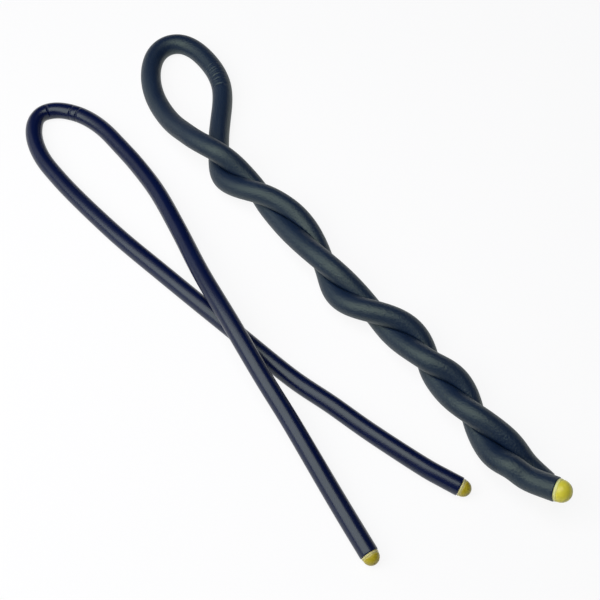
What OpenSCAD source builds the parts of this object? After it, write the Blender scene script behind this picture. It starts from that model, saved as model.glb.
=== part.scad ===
// A pair of bendable foam-rubber ties lying side by side.
// Each is a foam-rubber sleeve over a bendable steel wire, with a domed cap plugged into each end.
// The slim tie is bent into a loop with crossed legs, and the stout tie is folded and twisted round itself.

/* [Slim tie] */
// Outside diameter of the slim sleeve
slim_od = 12.7; // [10:0.1:15.2]
// Diameter of the slim core wire
slim_wire_d = 4; // [3:0.1:5]
// Diameter of the slim end caps
slim_cap_d = 11.8; // [10:0.1:14.7]
// Height of a slim cap's collar, between the sleeve and the dome
slim_collar_h = 1.6; // [0.8:0.1:3]

/* [Stout tie] */
// Outside diameter of the stout sleeve
stout_od = 16; // [12:0.1:17]
// Diameter of the stout core wire
stout_wire_d = 5; // [3:0.1:6]
// Diameter of the stout end caps
stout_cap_d = 15; // [12:0.1:17]
// Height of a stout cap's collar, between the sleeve and the dome
stout_collar_h = 2.5; // [0.8:0.1:3.5]
// Length of each half turn of the twist, from the eye to the tails
half_turns = [51, 75, 54, 49, 47, 50]; // [40:1:100]
// Place across the tie of each crossing of the strands, from the eye to the tails
crossing_x = [25, 30.5, 27, 30.5, 31, 27.5, 28]; // [22:0.5:35]
// Share of the sideways bulge that the first strand takes in each half turn
first_strand_share = [0.35, 0.2, 0.15, 0.2, 0.7, 0.65]; // [0:0.05:1]
// Thickness left on the side of a strand that the other strand presses, as a share of its radius
pressed_share = 0.65; // [0.6:0.01:1]

/* [End caps] */
// How far the rounded rim round a cap's collar stands out from its dome
rim_step = 0.3; // [0.1:0.05:0.35]
// Length of the stem that plugs the sleeve
stem_len = 14; // [10:0.5:17]
// Wall of the stem round the wire's end
stem_wall = 1.6; // [1:0.1:2]
// Length of wire inside the stem
wire_in_stem = 8; // [4:0.5:9]

/* [Fits] */
// Radial clearance of the wire in the sleeve and in the stem
wire_clear = 0.2; // [0.1:0.05:0.4]
// Radial clearance of the stem in the sleeve
stem_clear = 0.1; // [0.05:0.05:0.3]
// Gap between a cap's collar and the sleeve's end
seat_gap = 0.1; // [0.05:0.05:0.3]
// Gap between lengths that lie on each other
strand_gap = 1; // [0.8:0.1:2]
// Gap between the two strands of the twist
twist_gap = 1.8; // [1.7:0.1:2.5]
// Gap at a bend between two lengths of a tie
bend_gap = 0.3; // [0.2:0.1:1]
// Depth of the flat underside, as a share of the sleeve's diameter
flat_share = 0.1; // [0.05:0.01:0.15]

/* [Hidden] */
sleeve_sides = 16;
bore_sides = sleeve_sides / 2;
rings_per_span = 3;
rings_per_short_span = 2;
rings_per_half_turn = 8;
squeeze_rings = 4;
twist_half_turns = 5.75;
neighbour_diameters = 4;
cap_fn = 64;

// A sleeve that lies on the ground has its centre line at this height
function rest_height(od) = od * (0.5 - flat_share);

// Lift is counted in sleeves: 0 lies on the ground and 1 lies on another strand
function lifted(p, od) = [p.x, p.y, rest_height(od) + p.z * (od + strand_gap)];

// Lift at which a cap just touches the ground
function tip_lift(od, cap_d) = (cap_d / 2 - rest_height(od)) / (od + strand_gap);

// Route of the slim tie from cap A, over the other leg, round the loop and under to cap B
slim_tip = tip_lift(slim_od, slim_cap_d);
slim_route = [
    [-83.5, -188.5, slim_tip], [-80, -168, slim_tip], [-75.5, -142, 0.15], [-67, -92, 0.55],
    [-62, -57, 0.85], [-53.5, -9, 1.02], [-45.5, 34, 0.9], [-35.5, 74, 0.6],
    [-26.5, 114, 0.25], [-23, 146, 0.06], [-22.5, 172, 0], [-23, 192, 0],
    [-26, 208, 0], [-31.5, 221, 0], [-40, 232, 0], [-50, 237, 0],
    [-59.5, 234, 0], [-67, 225.5, 0], [-72.5, 212.5, 0], [-75.5, 197, 0],
    [-76, 180, 0], [-75.5, 160, 0], [-73.5, 132, 0], [-70, 98, 0],
    [-64, 58, 0], [-58.5, 22, 0], [-53.5, -9, 0], [-45, -64, 0],
    [-36.5, -98, 0], [-29, -131, 0], [-17.5, -174, slim_tip], [-10, -194, slim_tip]
];
// Places in the route where the two legs bend
bend_a_point = 3;
bend_b_point = 28;

// Route of the stout eye from the first strand, on top at the crossing, round to the second strand below it
twist_y = 106;
stout_tip = tip_lift(stout_od, stout_cap_d);
eye_route = [
    [20.5, 127, 0.85], [20, 141, 0.6], [20, 157, 0.3], [22, 173, 0.1],
    [25.5, 189, 0], [31.5, 204, 0], [40.5, 217.5, 0], [52.5, 228, 0],
    [65.5, 231, 0], [76.5, 225, 0], [81.5, 212, 0], [82, 197, 0],
    [80, 182, 0], [74.5, 167, 0], [65, 153.5, 0], [53.5, 141, 0],
    [40.5, 126.5, 0]
];
// Routes of the two tails, from the twist to the ends of the sleeve
first_tail = [[21, -218.5, 0.8], [27.5, -236, 1.25]];
second_tail = [[32.5, -211, stout_tip], [33.5, -228, stout_tip]];

function unit(v) = v / norm(v);

function catmull(a, b, c, d, t) =
    0.5 * (2 * b + (c - a) * t + (2 * a - 5 * b + 4 * c - d) * t * t + (3 * b - a - 3 * c + d) * t * t * t);

// A smooth curve through the points, with the first and last spans left straight
function smooth(p, steps) = concat(
    [p[0]],
    [for (i = [1:len(p) - 3], k = [0:steps - 1]) catmull(p[i - 1], p[i], p[i + 1], p[i + 2], k / steps)],
    [p[len(p) - 2], p[len(p) - 1]]
);

function total(v) = v * [for (x = v) 1];

function line_length(p) = total([for (i = [1:1:len(p) - 1]) norm(p[i] - p[i - 1])]);

// Sum of the first n half turns
function twist_run(n) = n <= 0 ? 0 : half_turns[n - 1] + twist_run(n - 1);

// Share kept on the pressed side of a strand at ring k: 1 at both ends of the twist, pressed_share between
twist_rings = twist_half_turns * rings_per_half_turn;
function kept(k) =
    1 - (1 - pressed_share) * min(1, k / squeeze_rings, (twist_rings - k) / squeeze_rings);

// Distance between the two strands' centre lines at ring k, widened so that straight facets stay clear
function spread(k) = (stout_od * kept(k) + twist_gap) / cos(90 / rings_per_half_turn);

// Centre of strand 0 or 1 at ring k: a left-handed double helix with its lower strand on the ground,
// and whose middle sways from each crossing to the next
function twist_point(k, strand) =
    let (h = floor(k / rings_per_half_turn),
         f = k / rings_per_half_turn - h,
         phase = 180 * (h + f),
         sway = crossing_x[h] + (crossing_x[h + 1] - crossing_x[h]) * (1 - cos(180 * f)) / 2,
         share = strand == 0 ? first_strand_share[h] : first_strand_share[h] - 1,
         top = strand == 0 ? 1 : -1)
    [sway + spread(k) * share * sin(phase),
     twist_y - twist_run(h) - f * half_turns[h],
     rest_height(stout_od) + spread(k) * (1 + top * cos(phase)) / 2];

// A station is a centre, a direction along the tie, the direction that presses it and the share kept there
function stations(p, press) = [
    for (i = [0:len(p) - 1])
        [p[i], unit(p[min(i + 1, len(p) - 1)] - p[max(i - 1, 0)]), press[i][0], press[i][1]]
];

function unpressed(p) = [for (q = p) [[0, 0, 1], 1]];

function moved(s, along) = [s[0] + along * s[1], s[1], s[2], s[3]];

function slice(list, from, to) = [for (i = [from:to]) list[i]];

// Slim tie: one line of stations, parted at the two bends
slim_line = smooth([for (p = slim_route) lifted(p, slim_od)], rings_per_span);
slim_all = stations(slim_line, unpressed(slim_line));
slim_last = len(slim_all) - 1;
bend_a = 1 + (bend_a_point - 1) * rings_per_span;
bend_b = 1 + (bend_b_point - 1) * rings_per_span;
slim_leg_a = concat(slice(slim_all, 0, bend_a - 1), [moved(slim_all[bend_a], -bend_gap / 2)]);
slim_loop = concat(
    [moved(slim_all[bend_a], bend_gap / 2)],
    slice(slim_all, bend_a + 1, bend_b - 1),
    [moved(slim_all[bend_b], -bend_gap / 2)]
);
slim_leg_b = concat([moved(slim_all[bend_b], bend_gap / 2)], slice(slim_all, bend_b + 1, slim_last));

// Stout tie: first tail, first strand, eye, second strand and second tail in one line
first_strand = [for (k = [twist_rings:-1:0]) twist_point(k, 0)];
second_strand = [for (k = [0:twist_rings]) twist_point(k, 1)];
eye_curve = smooth(concat(
    [twist_point(1, 0), twist_point(0, 0)],
    [for (p = eye_route) lifted(p, stout_od)],
    [twist_point(0, 1), twist_point(1, 1)]
), rings_per_short_span);
first_tail_curve = smooth(concat(
    [twist_point(twist_rings - 1, 0), twist_point(twist_rings, 0)],
    [for (p = first_tail) lifted(p, stout_od)]
), rings_per_short_span);
second_tail_curve = smooth(concat(
    [twist_point(twist_rings - 1, 1), twist_point(twist_rings, 1)],
    [for (p = second_tail) lifted(p, stout_od)]
), rings_per_short_span);
first_out = [for (i = [len(first_tail_curve) - 1:-1:2]) first_tail_curve[i]];
second_out = slice(second_tail_curve, 2, len(second_tail_curve) - 1);
eye_round = slice(eye_curve, 2, len(eye_curve) - 3);
stout_line = concat(first_out, first_strand, eye_round, second_strand, second_out);
stout_press = concat(
    unpressed(first_out),
    [for (k = [twist_rings:-1:0]) [unit(twist_point(k, 1) - twist_point(k, 0)), kept(k)]],
    unpressed(eye_round),
    [for (k = [0:twist_rings]) [unit(twist_point(k, 0) - twist_point(k, 1)), kept(k)]],
    unpressed(second_out)
);
stout_all = stations(stout_line, stout_press);

// Half thickness of the sleeve at a station, towards a direction
function reach(s, od, dir) = od / 2 * sqrt(1 - pow(max(0, dir * s[2]), 2) * (1 - s[3] * s[3]));

// Least gap between lengths of a tie that lie more than a few diameters apart along it
function least_gap(all, od) = min([
    for (i = [0:len(all) - 1])
        let (c = all[i][0])
        for (j = [i + 1:1:len(all) - 1])
            if (line_length([for (m = [i:j]) all[m][0]]) > neighbour_diameters * od)
                let (d = unit(all[j][0] - c))
                norm(all[j][0] - c) - reach(all[i], od, d) - reach(all[j], od, -d)
]);

// A ring of points round a station, never below the ground
function ring(s, r, sides) =
    let (side = unit(cross([0, 0, 1], s[1])), up = cross(s[1], side))
    [for (k = [0:sides - 1])
        let (a = 360 * (k + 0.5) / sides,
             q = r * (cos(a) * side + sin(a) * up),
             v = s[0] + q - s[2] * max(0, q * s[2]) * (1 - s[3]))
        [v.x, v.y, max(v.z, 0)]];

function round_station(s) = [s[0], s[1], s[2], 1];

function flat_list(lists) = [for (l = lists, p = l) p];

// Triangles between ring a and ring b of the same number of sides, seen from outside
function band(a, b, sides) = [
    for (k = [0:sides - 1])
        let (n = (k + 1) % sides)
        each [[a + k, b + k, b + n], [a + k, b + n, a + n]]
];

// Triangles of a flat end between an outer ring and a bore ring of half as many sides
function end_face(outer, inner) = [
    for (j = [0:bore_sides - 1])
        let (o = 2 * j, n = (o + 2) % sleeve_sides, m = (j + 1) % bore_sides)
        each [
            [outer + o, outer + o + 1, inner + j],
            [outer + o + 1, outer + n, inner + j],
            [outer + n, inner + m, inner + j]
        ]
];

function flipped(faces) = [for (f = faces) [f[2], f[1], f[0]]];

// A sleeve through the stations, with a bore and, at the ends that take a cap, a wider seat for the stem
module sleeve(all, od, wire_d, seat_first, seat_last) {
    last = len(all) - 1;
    bore_r = (wire_d / 2 + wire_clear) / cos(180 / bore_sides);
    seat_r = (stem_r(wire_d) + stem_clear) / cos(180 / bore_sides);
    depth = stem_len + seat_gap;
    first_seat = moved(all[0], depth);
    last_seat = moved(all[last], -depth);
    outer = [for (s = all) ring(s, od / 2, sleeve_sides)];
    bore = [for (s = slice(all, 1, last - 1)) ring(round_station(s), bore_r, bore_sides)];
    inner = concat(
        seat_first ? [ring(all[0], seat_r, bore_sides), ring(first_seat, seat_r, bore_sides),
                      ring(first_seat, bore_r, bore_sides)] : [ring(all[0], bore_r, bore_sides)],
        bore,
        seat_last ? [ring(last_seat, bore_r, bore_sides), ring(last_seat, seat_r, bore_sides),
                     ring(all[last], seat_r, bore_sides)] : [ring(all[last], bore_r, bore_sides)]
    );
    base = len(outer) * sleeve_sides;
    inner_last = base + (len(inner) - 1) * bore_sides;
    polyhedron(
        points = concat(flat_list(outer), flat_list(inner)),
        faces = concat(
            [for (i = [0:last - 1]) each band(i * sleeve_sides, (i + 1) * sleeve_sides, sleeve_sides)],
            [for (i = [0:len(inner) - 2])
                each flipped(band(base + i * bore_sides, base + (i + 1) * bore_sides, bore_sides))],
            end_face(0, base),
            flipped(end_face(last * sleeve_sides, inner_last))
        )
    );
}

// The core wire through the stations, short of the sleeve's end where it stands in a cap's stem
module core_wire(all, wire_d, in_cap_first, in_cap_last) {
    last = len(all) - 1;
    short = stem_len - wire_in_stem;
    line = concat(
        [in_cap_first ? moved(all[0], short) : all[0]],
        slice(all, 1, last - 1),
        [in_cap_last ? moved(all[last], -short) : all[last]]
    );
    end_ring = last * bore_sides;
    fan = [for (k = [1:bore_sides - 2]) [0, k, k + 1]];
    polyhedron(
        points = flat_list([for (s = line) ring(round_station(s), wire_d / 2, bore_sides)]),
        faces = concat(
            [for (i = [0:last - 1]) each band(i * bore_sides, (i + 1) * bore_sides, bore_sides)],
            fan,
            flipped([for (f = fan) f + [end_ring, end_ring, end_ring]])
        )
    );
}

function stem_r(wire_d) = wire_d / 2 + wire_clear + stem_wall;

// A domed cap at the first or last station: dome and rimmed collar outside, stem with a blind socket inside
module end_cap(station, outward, cap_d, collar_h, wire_d) {
    dir = outward * station[1];
    dome_r = cap_d / 2 - rim_step;
    translate(station[0] + seat_gap * dir)
        rotate([0, acos(dir.z), atan2(dir.y, dir.x)])
            rotate_extrude($fn = cap_fn)
                difference() {
                    union() {
                        translate([0, -stem_len]) square([stem_r(wire_d), stem_len + collar_h]);
                        square([dome_r, collar_h]);
                        translate([(cap_d - collar_h) / 2, collar_h / 2]) circle(d = collar_h, $fn = cap_fn);
                        translate([0, collar_h]) intersection() {
                            circle(dome_r, $fn = cap_fn);
                            square(dome_r);
                        }
                    }
                    translate([0, -stem_len - seat_gap])
                        square([wire_d / 2 + wire_clear, wire_in_stem + 2 * seat_gap]);
                }
}

module foam_rubber() {
    color("#23272d") children();
}

module steel() {
    color("#8d9093") children();
}

module slim_sleeve_loop() {
    foam_rubber() sleeve(slim_loop, slim_od, slim_wire_d, false, false);
}

module slim_sleeve_leg_a() {
    foam_rubber() sleeve(slim_leg_a, slim_od, slim_wire_d, true, false);
}

module slim_sleeve_leg_b() {
    foam_rubber() sleeve(slim_leg_b, slim_od, slim_wire_d, false, true);
}

module slim_wire_loop() {
    steel() core_wire(slim_loop, slim_wire_d, false, false);
}

module slim_wire_leg_a() {
    steel() core_wire(slim_leg_a, slim_wire_d, true, false);
}

module slim_wire_leg_b() {
    steel() core_wire(slim_leg_b, slim_wire_d, false, true);
}

module slim_cap_a() {
    color("#c4b92c") end_cap(slim_all[0], -1, slim_cap_d, slim_collar_h, slim_wire_d);
}

module slim_cap_b() {
    color("#c4b92c") end_cap(slim_all[slim_last], 1, slim_cap_d, slim_collar_h, slim_wire_d);
}

module stout_sleeve() {
    foam_rubber() sleeve(stout_all, stout_od, stout_wire_d, true, true);
}

module stout_wire() {
    steel() core_wire(stout_all, stout_wire_d, true, true);
}

module stout_cap_a() {
    color("#dfd84a") end_cap(stout_all[0], -1, stout_cap_d, stout_collar_h, stout_wire_d);
}

module stout_cap_b() {
    color("#dfd84a") end_cap(stout_all[len(stout_all) - 1], 1, stout_cap_d, stout_collar_h, stout_wire_d);
}

echo(slim_length = line_length(slim_line), stout_length = line_length(stout_line));
echo(slim_least_gap = least_gap(slim_all, slim_od), stout_least_gap = least_gap(stout_all, stout_od));

slim_sleeve_loop();
slim_sleeve_leg_a();
slim_sleeve_leg_b();
slim_wire_loop();
slim_wire_leg_a();
slim_wire_leg_b();
slim_cap_a();
slim_cap_b();
stout_sleeve();
stout_wire();
stout_cap_a();
stout_cap_b();
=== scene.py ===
"""A pair of bendable foam-rubber ties: a slim one looped with crossed legs, and a stout one that is folded
and twisted round itself."""

import bpy
import numpy as np
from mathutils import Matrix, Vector


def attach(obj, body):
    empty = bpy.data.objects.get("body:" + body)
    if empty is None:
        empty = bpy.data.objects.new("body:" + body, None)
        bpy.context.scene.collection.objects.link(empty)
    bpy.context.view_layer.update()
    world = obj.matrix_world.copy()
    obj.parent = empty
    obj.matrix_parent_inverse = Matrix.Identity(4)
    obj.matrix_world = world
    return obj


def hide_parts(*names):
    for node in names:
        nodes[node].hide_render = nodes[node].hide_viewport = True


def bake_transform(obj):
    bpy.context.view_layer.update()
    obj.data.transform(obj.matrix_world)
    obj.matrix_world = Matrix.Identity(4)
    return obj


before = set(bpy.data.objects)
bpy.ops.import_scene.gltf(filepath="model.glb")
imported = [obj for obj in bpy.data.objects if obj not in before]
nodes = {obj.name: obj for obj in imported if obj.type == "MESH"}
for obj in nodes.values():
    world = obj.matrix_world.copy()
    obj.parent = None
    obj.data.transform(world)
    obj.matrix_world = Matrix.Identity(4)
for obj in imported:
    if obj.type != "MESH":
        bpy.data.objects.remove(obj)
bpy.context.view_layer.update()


# Slim sleeve
# A tube of closed-cell foam rubber with a smooth extruded skin, pushed over the core wire. It is bent by
# hand into a loop with crossed legs, and drawn as two halves, one for each leg, that meet in a crease.
MM = 0.001
slim_od = 12.7 * MM
slim_wire_d = 4.0 * MM
slim_cap_d = 11.8 * MM
flat_share = 0.1  # how far a sleeve's centre sinks where it lies, as a share of its diameter
wire_clear = 0.2 * MM
stem_clear = 0.1 * MM
stem_wall = 1.6 * MM
stem_len = 14.0 * MM
seat_gap = 0.1 * MM
slim_settle = 0.2 * MM  # how far the upper leg sinks into the one that it lies on
slim_sides = 48
ring_step = 1.0 * MM
close_rings = 4  # how many times as close the rings stand at folds and wrinkles
close_reach = 3 * MM
bore_step = 5.0 * MM
cut_round = 0.6 * MM  # rounding of the sleeve's cut edge
cut_rings = 6
floor_soft = 0.25 * MM  # rounding beside the flat underside
sharp_edge = np.radians(50)


def rest_height(od):
    """Centre height of a sleeve that lies on the ground, a little flattened: od * (0.5 - flat_share)."""
    return od * (0.5 - flat_share)


def on_ground(route, od, step):
    """Route points, with x and y in mm and lift in sleeves, as metres: z is rest height + lift * step."""
    p = np.array(route, float)
    return np.column_stack([p[:, :2] * MM, rest_height(od) + p[:, 2] * step])


def tip_lift(od, cap_d, step):
    """Lift at which a cap of that diameter just touches the ground: (cap_d / 2 - rest height) / step."""
    return (cap_d / 2 - rest_height(od)) / step


def smooth_curve(points, steps):
    """Catmull-Rom curve through the points, steps to a span, with the first and last spans left straight."""
    p = np.asarray(points, float)
    a, b, c, d = (p[i:len(p) - 3 + i, None] for i in range(4))
    t = (np.arange(steps) / steps)[None, :, None]
    spans = 2 * b + (c - a) * t + (2 * a - 5 * b + 4 * c - d) * t**2 + (3 * b - a - 3 * c + d) * t**3
    return np.concatenate([p[:1], 0.5 * spans.reshape(-1, 3), p[-2:]])


def run_of(line):
    """Length along the line at each of its points."""
    return np.append(0, np.cumsum(np.linalg.norm(np.diff(line, axis=0), axis=1)))


def at_run(line, run, where):
    """Points of the line at the lengths where along it, by straight interpolation."""
    return np.column_stack([np.interp(where, run, line[:, k]) for k in range(3)])


def run_near(line, run, place):
    """Length along the line at its point nearest to a place."""
    return run[np.linalg.norm(line - place, axis=1).argmin()]


def even_line(line, step):
    """The line again, with points about step apart."""
    run = run_of(line)
    return at_run(line, run, np.linspace(0, run[-1], round(run[-1] / step) + 1))


def eased(line, spread):
    """The line after a running Gaussian mean, with its spread counted in points and cut off at three spreads.
    The line is mirrored through its ends, so that they stay put."""
    reach = 3 * spread
    weight = np.exp(-0.5 * (np.arange(-reach, reach + 1) / spread) ** 2)
    before = 2 * line[0] - line[reach:0:-1]
    after = 2 * line[-1] - line[-2:-reach - 2:-1]
    padded = np.concatenate([before, line, after])
    return np.column_stack([np.convolve(padded[:, k], weight / weight.sum(), "valid") for k in range(3)])


def unit(v):
    """Vectors of length one, along the last axis."""
    return v / np.linalg.norm(v, axis=-1, keepdims=True)


def ring_axes(line):
    """Level sideways direction and upward direction, both square to the line, at each of its points."""
    along = unit(np.gradient(line, axis=0))
    side = unit(np.cross([0, 0, 1], along))
    return side, np.cross(along, side)


def ring_places(start, end, close):
    """Lengths from start to end, ring_step apart, and close_rings times as close in the stretches in close.
    Fine samples count for one ring or for close_rings, and the rings are even steps of the running count."""
    samples_per_step = 20
    fine = np.linspace(start, end, samples_per_step * round((end - start) / ring_step))
    is_close = np.any([(fine > a) & (fine < b) for a, b in close], axis=0)
    rank = np.cumsum(1 + (close_rings - 1) * is_close)
    count = round((rank[-1] - rank[0]) * (fine[1] - fine[0]) / ring_step)
    return np.interp(np.linspace(rank[0], rank[-1], count + 1), rank, fine)


def cut_edge(od, cut):
    """Lengths in from an end of the skin and the radii there: a quarter round at a cut end, else one ring."""
    if not cut:
        return np.zeros(1), np.full(1, od / 2)
    turn = np.linspace(0, np.pi / 2, cut_rings)
    return cut_round * (1 - np.cos(turn)), od / 2 - cut_round * (1 - np.sin(turn))


def stem_seat(bore, cut):
    """Lengths in from an end of the bore and the radii there: a wider seat for the cap's stem at a cut end,
    else one ring."""
    if not cut:
        return np.zeros(1), np.full(1, bore)
    seat = bore + stem_wall + stem_clear
    depth = stem_len + seat_gap
    return np.array([0, depth, depth]), np.array([seat, seat, bore])


def sleeve_profile(start, end, od, wire_d, cut_start, cut_end, close):
    """Closed profile of a sleeve as lengths along the line and radii: out along the skin, over the cut face,
    and back along the bore. The third array is 1 on the skin and 0 in the bore."""
    bore = wire_d / 2 + wire_clear
    near, near_r = cut_edge(od, cut_start)
    far, far_r = (v[::-1] for v in cut_edge(od, cut_end))
    middle = ring_places(start + near[-1], end - far[0], close)[1:-1]
    skin = np.concatenate([start + near, middle, end - far])
    skin_r = np.concatenate([near_r, np.full(len(middle), od / 2), far_r])
    far_in, far_in_r = stem_seat(bore, cut_end)
    near_in, near_in_r = (v[::-1] for v in stem_seat(bore, cut_start))
    inner = np.linspace(end - far_in[-1], start + near_in[0], round((end - start) / bore_step))[1:-1]
    lengths = np.concatenate([skin, end - far_in, inner, start + near_in])
    radii = np.concatenate([skin_r, far_in_r, np.full(len(inner), bore), near_in_r])
    return lengths, radii, (np.arange(len(lengths)) < len(skin)).astype(float)


def swept(line, lengths, radii, sides):
    """Rings along the line: their centres, the offsets of their points from those, and the points' turns.
    At a length with radius r, the point at turn a has the offset r (cos a * side + sin a * up)."""
    run = run_of(line)
    side, up = (at_run(v, run, lengths)[:, None] for v in ring_axes(line))
    turn = 2 * np.pi * np.arange(sides) / sides - np.pi / 2
    spokes = np.cos(turn)[:, None] * side + np.sin(turn)[:, None] * up
    return at_run(line, run, lengths)[:, None], radii[:, None, None] * spokes, turn


def raised(centre, offset, radii, rise):
    """Points of the rings after each radius r grows by its rise: centre + offset * (1 + rise / r)."""
    return centre + offset * (1 + rise / radii[:, None])[..., None]


def straight_places(lengths, radii, turn):
    """Places of the rings' points with the line straight and upright: (r cos a, r sin a, length)."""
    r = radii[:, None]
    return np.stack(np.broadcast_arrays(r * np.cos(turn), r * np.sin(turn), lengths[:, None]), -1)


def floor_pressed(points):
    """Points no lower than the ground: z becomes s * ln(1 + exp(z / s)) with s = floor_soft, a rounded corner
    between z and 0."""
    lifted = points.copy()
    lifted[..., 2] = floor_soft * np.logaddexp(0, points[..., 2] / floor_soft)
    return lifted


def closed_grid(name, grid, places):
    """Closed mesh through a grid of points that wraps both ways, with each point's place on the straight tube
    as an attribute for the skin's pattern."""
    rows, cols = grid.shape[:2]
    i = np.arange(rows * cols).reshape(rows, cols)
    below = np.roll(i, -1, 0)
    quads = np.stack([i, np.roll(i, -1, 1), np.roll(below, -1, 1), below], -1).reshape(-1, 4)
    mesh = bpy.data.meshes.new(name)
    mesh.from_pydata(grid.reshape(-1, 3).tolist(), [], quads.tolist())
    attribute = mesh.attributes.new("straight_place", "FLOAT_VECTOR", "POINT")
    attribute.data.foreach_set("vector", places.ravel())
    mesh.shade_smooth()
    mesh.set_sharp_from_angle(angle=sharp_edge)
    piece = bpy.data.objects.new(name, mesh)
    bpy.context.scene.collection.objects.link(piece)
    return piece


slim_step = slim_od - slim_settle
slim_tip = tip_lift(slim_od, slim_cap_d, slim_step)
slim_route = [
    [-83.5, -188.5, slim_tip], [-80, -168, slim_tip], [-75.5, -142, 0.15], [-67, -92, 0.55],
    [-62, -57, 0.85], [-53.5, -9, 1.02], [-45.5, 34, 0.9], [-35.5, 74, 0.6],
    [-26.5, 114, 0.25], [-23, 146, 0.06], [-22.5, 172, 0], [-23, 192, 0],
    [-26, 208, 0], [-31.5, 221, 0], [-40, 232, 0], [-50, 237, 0],
    [-59.5, 234, 0], [-67, 225.5, 0], [-72.5, 212.5, 0], [-75.5, 197, 0],
    [-76, 180, 0], [-75.5, 160, 0], [-73.5, 132, 0], [-70, 98, 0],
    [-64, 58, 0], [-58.5, 22, 0], [-53.5, -9, 0], [-45, -64, 0],
    [-36.5, -98, 0], [-29, -131, 0], [-17.5, -174, slim_tip], [-10, -194, slim_tip],
]
slim_curve_steps = 24
slim_easing = 3  # spread of the running mean, in points
slim_curve = smooth_curve(on_ground(slim_route, slim_od, slim_step), slim_curve_steps)
slim_line = eased(even_line(slim_curve, ring_step), slim_easing)
slim_run = run_of(slim_line)
fold_places = np.array([[-46.5, 236, 5], [-33, 223, 5], [-30, 217.5, 5]]) * MM
fold_runs = [run_near(slim_line, slim_run, place) for place in fold_places]
fold_depths = np.array([0.9, 0.6, 0.7]) * MM
fold_width = 0.8 * MM
fold_side = np.radians(55)  # turn of the upper inside, where the folds are deepest
corner_place = np.array([-55.5, 236, 5]) * MM
corner_run = run_near(slim_line, slim_run, corner_place)
corner_depth = 1.0 * MM
corner_reach = 7 * MM
corner_side = np.radians(-25)  # turn of the lower inside, where the corner is flattest
slim_swell = 0.05 * MM  # unevenness of the extruded diameter
slim_swell_reach = 23 * MM  # length for each radian of that unevenness


def slim_half(name, start, end, cut_start, cut_end):
    """Half of the slim sleeve: a swept tube pressed on the ground, with folds on the upper inside of the
    loop's end and its inside flattened at the sharpest corner. Each of these is a
    depth * exp(-(distance / width)^2) along the tube."""
    close = [(run - close_reach, run + close_reach) for run in fold_runs]
    lengths, radii, skin = sleeve_profile(start, end, slim_od, slim_wire_d, cut_start, cut_end, close)
    centre, offset, turn = swept(slim_line, lengths, radii, slim_sides)
    folds = sum(d * np.exp(-((lengths - run) / fold_width) ** 2) for d, run in zip(fold_depths, fold_runs))
    corner = corner_depth * np.exp(-((lengths - corner_run) / corner_reach) ** 2)
    upper_inside = np.clip(np.cos(turn - fold_side), 0, 1)
    lower_inside = np.clip(np.cos(turn - corner_side), 0, 1) ** 2
    swell = slim_swell * np.sin(lengths / slim_swell_reach)[:, None]
    rise = skin[:, None] * (swell - folds[:, None] * upper_inside - corner[:, None] * lower_inside)
    grid = raised(centre, offset, radii, rise)
    return closed_grid(name, floor_pressed(grid), straight_places(lengths, radii, turn))


half_run = fold_runs[0]
slim_half_a = slim_half("slim_sleeve_half_a", 0, half_run, True, False)
slim_half_b = slim_half("slim_sleeve_half_b", half_run, slim_run[-1], False, True)

bend_a = np.array([-67.0, -92.0]) * MM
bend_b = np.array([-36.5, -98.0]) * MM
bend_reach = 16 * MM


def bend_ends(place):
    """Two points on the slim line, one bend_reach before and one after its point nearest to a place seen
    from above."""
    nearest = np.linalg.norm(slim_line[:, :2] - place, axis=1).argmin()
    steps = round(bend_reach / ring_step)
    return slim_line[nearest - steps], slim_line[nearest + steps]


outer_a, inner_a = bend_ends(bend_a)
inner_b, outer_b = bend_ends(bend_b)
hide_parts("slim_sleeve_loop", "slim_sleeve_leg_a")
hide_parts("slim_sleeve_loop", "slim_sleeve_leg_b")
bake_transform(slim_half_a)
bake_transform(slim_half_b)

first_colour, second_colour, mixed_colour = 6, 7, 2  # sockets of a Mix node that mixes colours
cloud_size = 28 * MM  # patches of the skin that differ in tint and gloss
scuff_width = 2.4 * MM
scuff_grey = "#3c434b"
scuff_from, scuff_full = 0.56, 0.8  # noise at which scuffs begin and are strongest
scuff_most = 0.15
die_line_width = 0.8 * MM
die_line_depth = 0.1 * MM
drawn_out = (1, 1, 0.04)  # makes scuffs and die lines 25 times as long as wide


def linear(hex_colour):
    """Linear RGBA of an sRGB hex colour: c / 12.92 below 0.04045, else ((c + 0.055) / 1.055) ^ 2.4."""
    c = np.array([int(hex_colour[i:i + 2], 16) for i in (1, 3, 5)]) / 255
    return (*np.where(c <= 0.04045, c / 12.92, ((c + 0.055) / 1.055) ** 2.4), 1)


def node(tree, kind, inputs=(), **settings):
    """Adds a node: each setting sets an attribute of it, and each pair in inputs gives an input, by name or
    number, a value or a link from another node's output."""
    made = tree.nodes.new(kind)
    for key, value in settings.items():
        setattr(made, key, value)
    for socket, value in inputs:
        if isinstance(value, bpy.types.NodeSocket):
            tree.links.new(value, made.inputs[socket])
        else:
            made.inputs[socket].default_value = value
    return made


def new_material(name):
    """Empty material, the tree to build in and its output node."""
    material = bpy.data.materials.new(name)
    material.use_nodes = True
    material.node_tree.nodes.clear()
    return material, material.node_tree, node(material.node_tree, "ShaderNodeOutputMaterial")


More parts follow.
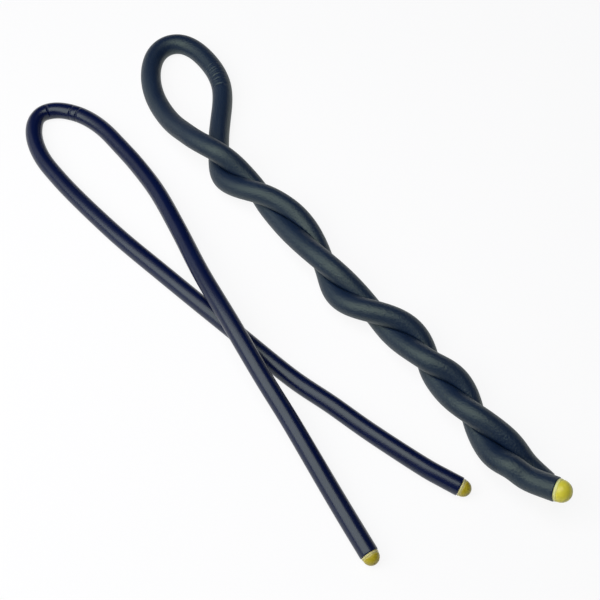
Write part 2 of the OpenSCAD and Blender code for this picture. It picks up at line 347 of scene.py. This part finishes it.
def foam_rubber(name, tint, shade, smooth, rough, ior, bloom, cell, dent):
    """Extruded closed-cell foam rubber: a satin blue-black skin with fine cells, and with die lines and faint
    scuffs along it. Cells have that width and depth of dent, and bloom is the cast that wax and dust give
    the gloss."""
    material, tree, out = new_material(name)
    place = node(tree, "ShaderNodeAttribute", attribute_name="straight_place").outputs["Vector"]
    cloud = node(tree, "ShaderNodeTexNoise", [("Vector", place), ("Scale", 1 / cloud_size), ("Detail", 3)])
    tone = node(tree, "ShaderNodeMix", [
        ("Factor", cloud.outputs["Fac"]), (first_colour, linear(tint)), (second_colour, linear(shade))],
        data_type="RGBA")
    stretched = node(tree, "ShaderNodeMapping", [("Vector", place), ("Scale", drawn_out)])
    scuff = node(tree, "ShaderNodeTexNoise", [
        ("Vector", stretched.outputs[0]), ("Scale", 1 / scuff_width), ("Detail", 4)])
    scuffed = node(tree, "ShaderNodeMapRange", [
        ("Value", scuff.outputs["Fac"]), ("From Min", scuff_from), ("From Max", scuff_full),
        ("To Max", scuff_most)])
    skin = node(tree, "ShaderNodeMix", [
        ("Factor", scuffed.outputs[0]), (first_colour, tone.outputs[mixed_colour]),
        (second_colour, linear(scuff_grey))], data_type="RGBA")
    cells = node(tree, "ShaderNodeTexNoise", [("Vector", place), ("Scale", 1 / cell), ("Detail", 2)])
    lines = node(tree, "ShaderNodeTexNoise", [
        ("Vector", stretched.outputs[0]), ("Scale", 1 / die_line_width), ("Detail", 1)])
    dents = node(tree, "ShaderNodeBump", [("Height", cells.outputs["Fac"]), ("Distance", dent)])
    ridges = node(tree, "ShaderNodeBump", [
        ("Height", lines.outputs["Fac"]), ("Strength", 0.2), ("Distance", die_line_depth),
        ("Normal", dents.outputs[0])])
    gloss = node(tree, "ShaderNodeMapRange", [
        ("Value", cloud.outputs["Fac"]), ("To Min", smooth), ("To Max", rough)])
    shader = node(tree, "ShaderNodeBsdfPrincipled", [
        ("Base Color", skin.outputs[mixed_colour]), ("Roughness", gloss.outputs[0]),
        ("Normal", ridges.outputs[0]), ("IOR", ior), ("Specular Tint", linear(bloom))])
    tree.links.new(shader.outputs[0], out.inputs["Surface"])
    return material


slim_foam = foam_rubber("foam_rubber_slim", tint="#010832", shade="#02113e", smooth=0.27, rough=0.33,
                        ior=1.5, bloom="#f0fdec", cell=0.9 * MM, dent=0.03 * MM)
for half in (slim_half_a, slim_half_b):
    half.data.materials.append(slim_foam)


# Stout sleeve
# The same foam rubber in a thicker tube, folded at its middle into an eye and twisted round itself. The
# strands press each other flat where they touch, and the two tails part at the end.
stout_od = 16.0 * MM
stout_wire_d = 5.0 * MM
stout_cap_d = 15.0 * MM
strand_gap = 1.0 * MM
twist_gap = 1.8 * MM
strand_soft = 0.5 * MM  # rounding beside the face that the other strand presses flat
stout_sides = 56
half_turns = np.array([51, 75, 54, 49, 47, 50]) * MM
first_strand_share = np.array([0.35, 0.2, 0.15, 0.2, 0.7, 0.65])
pressed_share = 0.65
twist_count = 5.75
squeeze_count = 0.5  # half turns over which the strands come together at each end of the twist
end_count = 0.125  # half turns back into the twist that set the direction of the eye and the tails
twist_samples = 500
crossing_x = np.array([25, 30.5, 27, 30.5, 31, 27.5, 28]) * MM
twist_y = 106 * MM
eye_neck = 40 * MM  # how far the strands run into the eye before they are well apart
stout_step = stout_od + strand_gap
stout_tip = tip_lift(stout_od, stout_cap_d, stout_step)
stout_curve_steps = 16
stout_easing = 5  # spread of the running mean, in points


def twist_point(count, top):
    """Centre of the first strand (top 1) or second strand (top -1) after a count n of half turns: a
    left-handed double helix with its lower strand on the ground, x = sway + s * share * sin(pi n) and
    z = rest + s * (1 + top * cos(pi n)) / 2, whose middle sways between crossings by a half cosine."""
    count = np.atleast_1d(count)
    whole = np.minimum(count.astype(int), len(half_turns) - 1)
    pressed = np.clip(np.minimum(count, twist_count - count) / squeeze_count, 0, 1)
    apart = stout_od * (1 - (1 - pressed_share) * pressed) + twist_gap
    share = first_strand_share[whole] - (top < 0)
    part = count - whole
    run = np.append(0, np.cumsum(half_turns))[whole] + part * half_turns[whole]
    sway = crossing_x[whole] + np.diff(crossing_x)[whole] * (1 - np.cos(np.pi * part)) / 2
    return np.column_stack([
        sway + apart * share * np.sin(np.pi * count),
        twist_y - run,
        rest_height(stout_od) + apart * (1 + top * np.cos(np.pi * count)) / 2])


def tail_curve(route, top):
    """Smooth curve from the twist's end, on the first strand (top 1) or second strand (top -1), along a
    tail's route."""
    twist_end = twist_point([twist_count - end_count, twist_count], top)
    tail = on_ground(route, stout_od, stout_step)
    return smooth_curve(np.concatenate([twist_end, tail]), stout_curve_steps)


eye_route = [
    [20.5, 127, 0.85], [20, 141, 0.6], [20, 157, 0.3], [22, 173, 0.1],
    [25.5, 189, 0], [31.5, 204, 0], [40.5, 217.5, 0], [52.5, 228, 0],
    [65.5, 231, 0], [76.5, 225, 0], [81.5, 212, 0], [82, 197, 0],
    [80, 182, 0], [74.5, 167, 0], [65, 153.5, 0], [53.5, 141, 0],
    [40.5, 126.5, 0],
]
counts = np.linspace(0, twist_count, twist_samples)
first_strand = twist_point(counts, 1)
second_strand = twist_point(counts, -1)
first_tail = tail_curve([[21, -218.5, 0.8], [27.5, -236, 1.25]], 1)
second_tail = tail_curve([[32.5, -211, stout_tip], [33.5, -228, stout_tip]], -1)
eye_curve = smooth_curve(np.concatenate([
    twist_point([end_count, 0], 1), on_ground(eye_route, stout_od, stout_step),
    twist_point([0, end_count], -1)]), stout_curve_steps)
# Where the tails and the eye join the twist, their last two points lie on the strand and are left out.
stout_curve = np.concatenate([
    first_tail[:1:-1], first_strand[::-1], eye_curve[2:-2], second_strand, second_tail[2:]])
stout_line = eased(even_line(stout_curve, ring_step), stout_easing)
stout_run = run_of(stout_line)
eye_top = stout_line[:, 1].argmax()


def strands_at(y):
    """Centres of the first and the second strand at places y along the tie, read off the line's two sides."""
    first, second = stout_line[:eye_top + 1], stout_line[:eye_top - 1:-1]
    return tuple(np.stack([np.interp(y, s[:, 1], s[:, k]) for k in range(3)], -1) for s in (first, second))


def strand_pressed(points, own_first):
    """Points kept on their own strand's side of the face midway between the strands: the distance e past that
    face becomes -s * ln(1 + exp(-e / s)) with s = strand_soft, so a strand is flat where the other presses
    and rounds off beside it."""
    first, second = strands_at(points[..., 1])
    in_twist = (points[..., 1] < twist_y + eye_neck)[..., None]
    across = np.where(in_twist, (second - first) * np.where(own_first, 1, -1)[..., None], [1, 0, 0])
    across[..., 1] = 0
    across = unit(across)
    past = ((points - (first + second) / 2) * across).sum(-1, keepdims=True)
    kept = -strand_soft * np.logaddexp(0, -past / strand_soft)
    return np.where(in_twist, points + across * (kept - past), points)


wrinkle_places = np.array([[81, 187, 6], [73, 164, 6]]) * MM
wrinkle_start, wrinkle_end = (run_near(stout_line, stout_run, place) for place in wrinkle_places)
wrinkle_pitch = 4.0 * MM
wrinkle_depth = 0.14 * MM
wrinkle_slant = 0.9  # how far the wrinkles lag round the tube, in radians
second_wave_share, second_wave_rate = 0.7, 1.7  # a weaker, closer wave that makes them uneven
wrinkle_side = np.radians(110)  # turn of the side on which they show
crease_depth = 0.5 * MM
crease_width = 0.8 * MM
stout_swell = 0.06 * MM  # unevenness of the extruded diameter
stout_swell_reach = 31 * MM  # length for each radian of that unevenness
close = [(wrinkle_start, wrinkle_end + close_reach)]
lengths, radii, skin = sleeve_profile(0, stout_run[-1], stout_od, stout_wire_d, True, True, close)
centre, offset, turn = swept(stout_line, lengths, radii, stout_sides)
within = np.clip((lengths - wrinkle_start) / (wrinkle_end - wrinkle_start), 0, 1)
fade = np.sin(np.pi * within)[:, None] ** 0.5
phase = 2 * np.pi * (lengths - wrinkle_end)[:, None] / wrinkle_pitch + wrinkle_slant * np.cos(turn)
waves = wrinkle_depth * fade * (np.cos(phase) + second_wave_share * np.cos(second_wave_rate * phase))
crease = crease_depth * np.exp(-((lengths - wrinkle_end) / crease_width) ** 2)[:, None]
wrinkles = (waves - crease) * np.clip(np.cos(turn - wrinkle_side), 0, 1) ** 2
swell = stout_swell * np.sin(lengths / stout_swell_reach)[:, None]
grid = raised(centre, offset, radii, skin[:, None] * (swell + wrinkles))
on_first = np.broadcast_to((lengths < stout_run[eye_top])[:, None], grid.shape[:2])
grid = floor_pressed(strand_pressed(grid, on_first))
stout_sleeve = closed_grid("stout_sleeve_twisted", grid, straight_places(lengths, radii, turn))
# The real grain is finer than half a millimetre, so it is drawn coarser to show.
stout_foam = foam_rubber("foam_rubber_stout", tint="#011534", shade="#041e3f", smooth=0.43, rough=0.53,
                         ior=1.62, bloom="#e4f8d2", cell=1.3 * MM, dent=0.32 * MM)
stout_sleeve.data.materials.append(stout_foam)
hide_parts("stout_sleeve")
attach(stout_sleeve, "stout_tie")


# Core wires
# Soft annealed steel wire, drawn and bright, that runs the length of each sleeve and keeps the shape that it
# is bent to. Its ends stand in sockets in the cap stems, and it is hidden by the sleeve.
steel_grey = "#a9abad"
steel_grain = 0.6 * MM
steel_dent = 0.05 * MM


def drawn_steel():
    """Drawn steel: a plain grey metal with a fine even grain, seen by its bump and a varied gloss."""
    material, tree, out = new_material("drawn_steel")
    place = node(tree, "ShaderNodeTexCoord").outputs["Object"]
    grain = node(tree, "ShaderNodeTexNoise", [("Vector", place), ("Scale", 1 / steel_grain), ("Detail", 2)])
    gloss = node(tree, "ShaderNodeMapRange", [
        ("Value", grain.outputs["Fac"]), ("To Min", 0.25), ("To Max", 0.45)])
    dents = node(tree, "ShaderNodeBump", [
        ("Height", grain.outputs["Fac"]), ("Strength", 0.2), ("Distance", steel_dent)])
    shader = node(tree, "ShaderNodeBsdfPrincipled", [
        ("Base Color", linear(steel_grey)), ("Metallic", 1.0), ("Roughness", gloss.outputs[0]),
        ("Normal", dents.outputs[0])])
    tree.links.new(shader.outputs[0], out.inputs["Surface"])
    return material


steel = drawn_steel()
for name in ("slim_wire_loop", "slim_wire_leg_a", "slim_wire_leg_b", "stout_wire"):
    nodes[name].data.materials.clear()
    nodes[name].data.materials.append(steel)


# End caps
# Soft vinyl plugs moulded in yellow. A dome on a short collar with a rounded rim stands on the sleeve's cut
# end, and a stem with a blind socket is pushed into the sleeve over the wire's end.
# The third colour of each cap is a painted highlight: the paler rim where the collar catches the light.
slim_yellow = ("#c0b028", "#b09f1d", "#d2ca84")
stout_yellow = ("#ece24a", "#ddd238", "#e4e698")
rim_highlight_from = 1.0 * MM
rim_highlight_to = 2.6 * MM
vinyl_cloud = 5 * MM
vinyl_grain = 0.7 * MM
vinyl_dent = 0.1 * MM
vinyl_glow = (4 * MM, 3 * MM, 1 * MM)  # how far red, green and blue light go through it


def soft_vinyl(name, colour, shade, rim_highlight, seam, outward):
    """Moulded vinyl: an even yellow with slight clouding, a soft glow through it and a fine satin grain. Near
    the rim, where the height above the seam, (place - seam) . outward, is small, a paler colour is painted in
    as a highlight of the collar catching the light."""
    material, tree, out = new_material(name)
    place = node(tree, "ShaderNodeTexCoord").outputs["Object"]
    cloud = node(tree, "ShaderNodeTexNoise", [("Vector", place), ("Scale", 1 / vinyl_cloud), ("Detail", 3)])
    tone = node(tree, "ShaderNodeMix", [
        ("Factor", cloud.outputs["Fac"]), (first_colour, linear(colour)), (second_colour, linear(shade))],
        data_type="RGBA")
    from_seam = node(tree, "ShaderNodeVectorMath", [(0, place), (1, seam)], operation="SUBTRACT")
    above = node(tree, "ShaderNodeVectorMath", [(0, from_seam.outputs[0]), (1, outward)],
                 operation="DOT_PRODUCT")
    # Painted highlight: the paler rim colour is mixed in just above the seam, where the collar catches the
    # light.
    painted_rim_highlight = node(tree, "ShaderNodeMapRange", [
        ("Value", above.outputs["Value"]), ("From Min", rim_highlight_from), ("From Max", rim_highlight_to),
        ("To Min", 1), ("To Max", 0)])
    skin = node(tree, "ShaderNodeMix", [
        ("Factor", painted_rim_highlight.outputs[0]), (first_colour, tone.outputs[mixed_colour]),
        (second_colour, linear(rim_highlight))], data_type="RGBA")
    grain = node(tree, "ShaderNodeTexNoise", [("Vector", place), ("Scale", 1 / vinyl_grain), ("Detail", 2)])
    dents = node(tree, "ShaderNodeBump", [
        ("Height", grain.outputs["Fac"]), ("Strength", 0.03), ("Distance", vinyl_dent)])
    shader = node(tree, "ShaderNodeBsdfPrincipled", [
        ("Base Color", skin.outputs[mixed_colour]), ("Roughness", 0.38), ("Normal", dents.outputs[0]),
        ("Subsurface Weight", 0.15), ("Subsurface Radius", vinyl_glow), ("IOR", 1.5)])
    tree.links.new(shader.outputs[0], out.inputs["Surface"])
    return material


for name, colours, end, before in (("slim_cap_a", slim_yellow, slim_line[0], slim_line[1]),
                                   ("slim_cap_b", slim_yellow, slim_line[-1], slim_line[-2]),
                                   ("stout_cap_a", stout_yellow, stout_line[0], stout_line[1]),
                                   ("stout_cap_b", stout_yellow, stout_line[-1], stout_line[-2])):
    nodes[name].data.materials.clear()
    nodes[name].data.materials.append(soft_vinyl(name + "_vinyl", *colours, end, unit(end - before)))


# Studio
# A white paper floor that sweeps up to a low wall far off all round, a long soft box above and to the left
# of the ties, a weak one behind them, and a dim blue room.
paper_white = "#ffffff"
lamp_white = "#fdfcff"
room_blue = "#7fa6f0"
room_strength = 0.06
floor_radius = 10.0
floor_middle = 0.01  # radius of the one flat face at the floor's centre
floor_sides = 96
sweep_radius = 2.2
sweep_rings = 12
shadow_share = 0.12  # how much of the paper's white, as seen, takes the ties' shadow
rise = np.linspace(0, np.pi / 2, sweep_rings)
floor_turn = np.linspace(0, 2 * np.pi, floor_sides, endpoint=False)
reach = np.append(floor_middle, floor_radius + sweep_radius * np.sin(rise))
height = np.append(0, sweep_radius * (1 - np.cos(rise)))
sweep = straight_places(height, reach, floor_turn)
i = np.arange(len(reach) * floor_sides).reshape(len(reach), -1)
beside = np.roll(i, -1, 1)
strips = np.stack([i[:-1], i[1:], beside[1:], beside[:-1]], -1).reshape(-1, 4)
sheet = bpy.data.meshes.new("floor")
sheet.from_pydata(sweep.reshape(-1, 3).tolist(), [], strips.tolist() + [i[0].tolist()])
floor = bpy.data.objects.new("floor", sheet)
bpy.context.scene.collection.objects.link(floor)
paper, tree, out = new_material("white_paper")
path = node(tree, "ShaderNodeLightPath")
plain_or_mirrored = node(tree, "ShaderNodeMath", [
    (0, path.outputs["Is Camera Ray"]), (1, path.outputs["Is Glossy Ray"])])
seen = node(tree, "ShaderNodeMath", [
    (0, plain_or_mirrored.outputs[0]), (1, path.outputs["Is Transmission Ray"])])
share = node(tree, "ShaderNodeMath", [(0, seen.outputs[0]), (1, 1 - shadow_share)], operation="MULTIPLY")
matte = node(tree, "ShaderNodeBsdfDiffuse", [("Color", linear(paper_white))])
white = node(tree, "ShaderNodeEmission", [("Color", linear(paper_white)), ("Strength", 1.0)])
mix = node(tree, "ShaderNodeMixShader", [(0, share.outputs[0]), (1, matte.outputs[0]), (2, white.outputs[0])])
tree.links.new(mix.outputs[0], out.inputs["Surface"])
floor.data.materials.append(paper)

room = bpy.data.worlds.new("room")
bpy.context.scene.world = room
room.use_nodes = True
room.node_tree.nodes["Background"].inputs["Color"].default_value = linear(room_blue)
room.node_tree.nodes["Background"].inputs["Strength"].default_value = room_strength


def stand_facing(thing, place, target):
    """Puts a lamp or the camera in the scene at a place, turned so that it faces a target."""
    thing.location = place
    thing.rotation_euler = (Vector(target) - Vector(place)).to_track_quat("-Z", "Y").to_euler()
    bpy.context.scene.collection.objects.link(thing)


def soft_box(name, place, target, wide, tall, watts):
    """Rectangular lamp of that width and height at a place, turned to face a target."""
    lamp = bpy.data.lights.new(name, "AREA")
    lamp.shape = "RECTANGLE"
    lamp.color = linear(lamp_white)[:3]
    lamp.size = wide
    lamp.size_y = tall
    lamp.energy = watts
    stand_facing(bpy.data.objects.new(name, lamp), place, target)


soft_box("side_soft_box", (-0.39, 0.14, 0.8), (0, 0, 0), wide=0.7, tall=1.6, watts=11.2)
soft_box("back_soft_box", (-0.6, 1.2, 0.8), (0.03, 0.15, 0), wide=1.0, tall=1.0, watts=2.2)

camera_place = (-0.2016, -0.2628, 0.5919)
camera_target = (0.0, -0.0212, 0.0)
camera = bpy.data.objects.new("camera", bpy.data.cameras.new("camera"))
stand_facing(camera, camera_place, camera_target)
camera.data.lens = 56
camera.data.sensor_width = 36
bpy.context.scene.camera = camera
bpy.context.scene.view_settings.view_transform = "Standard"
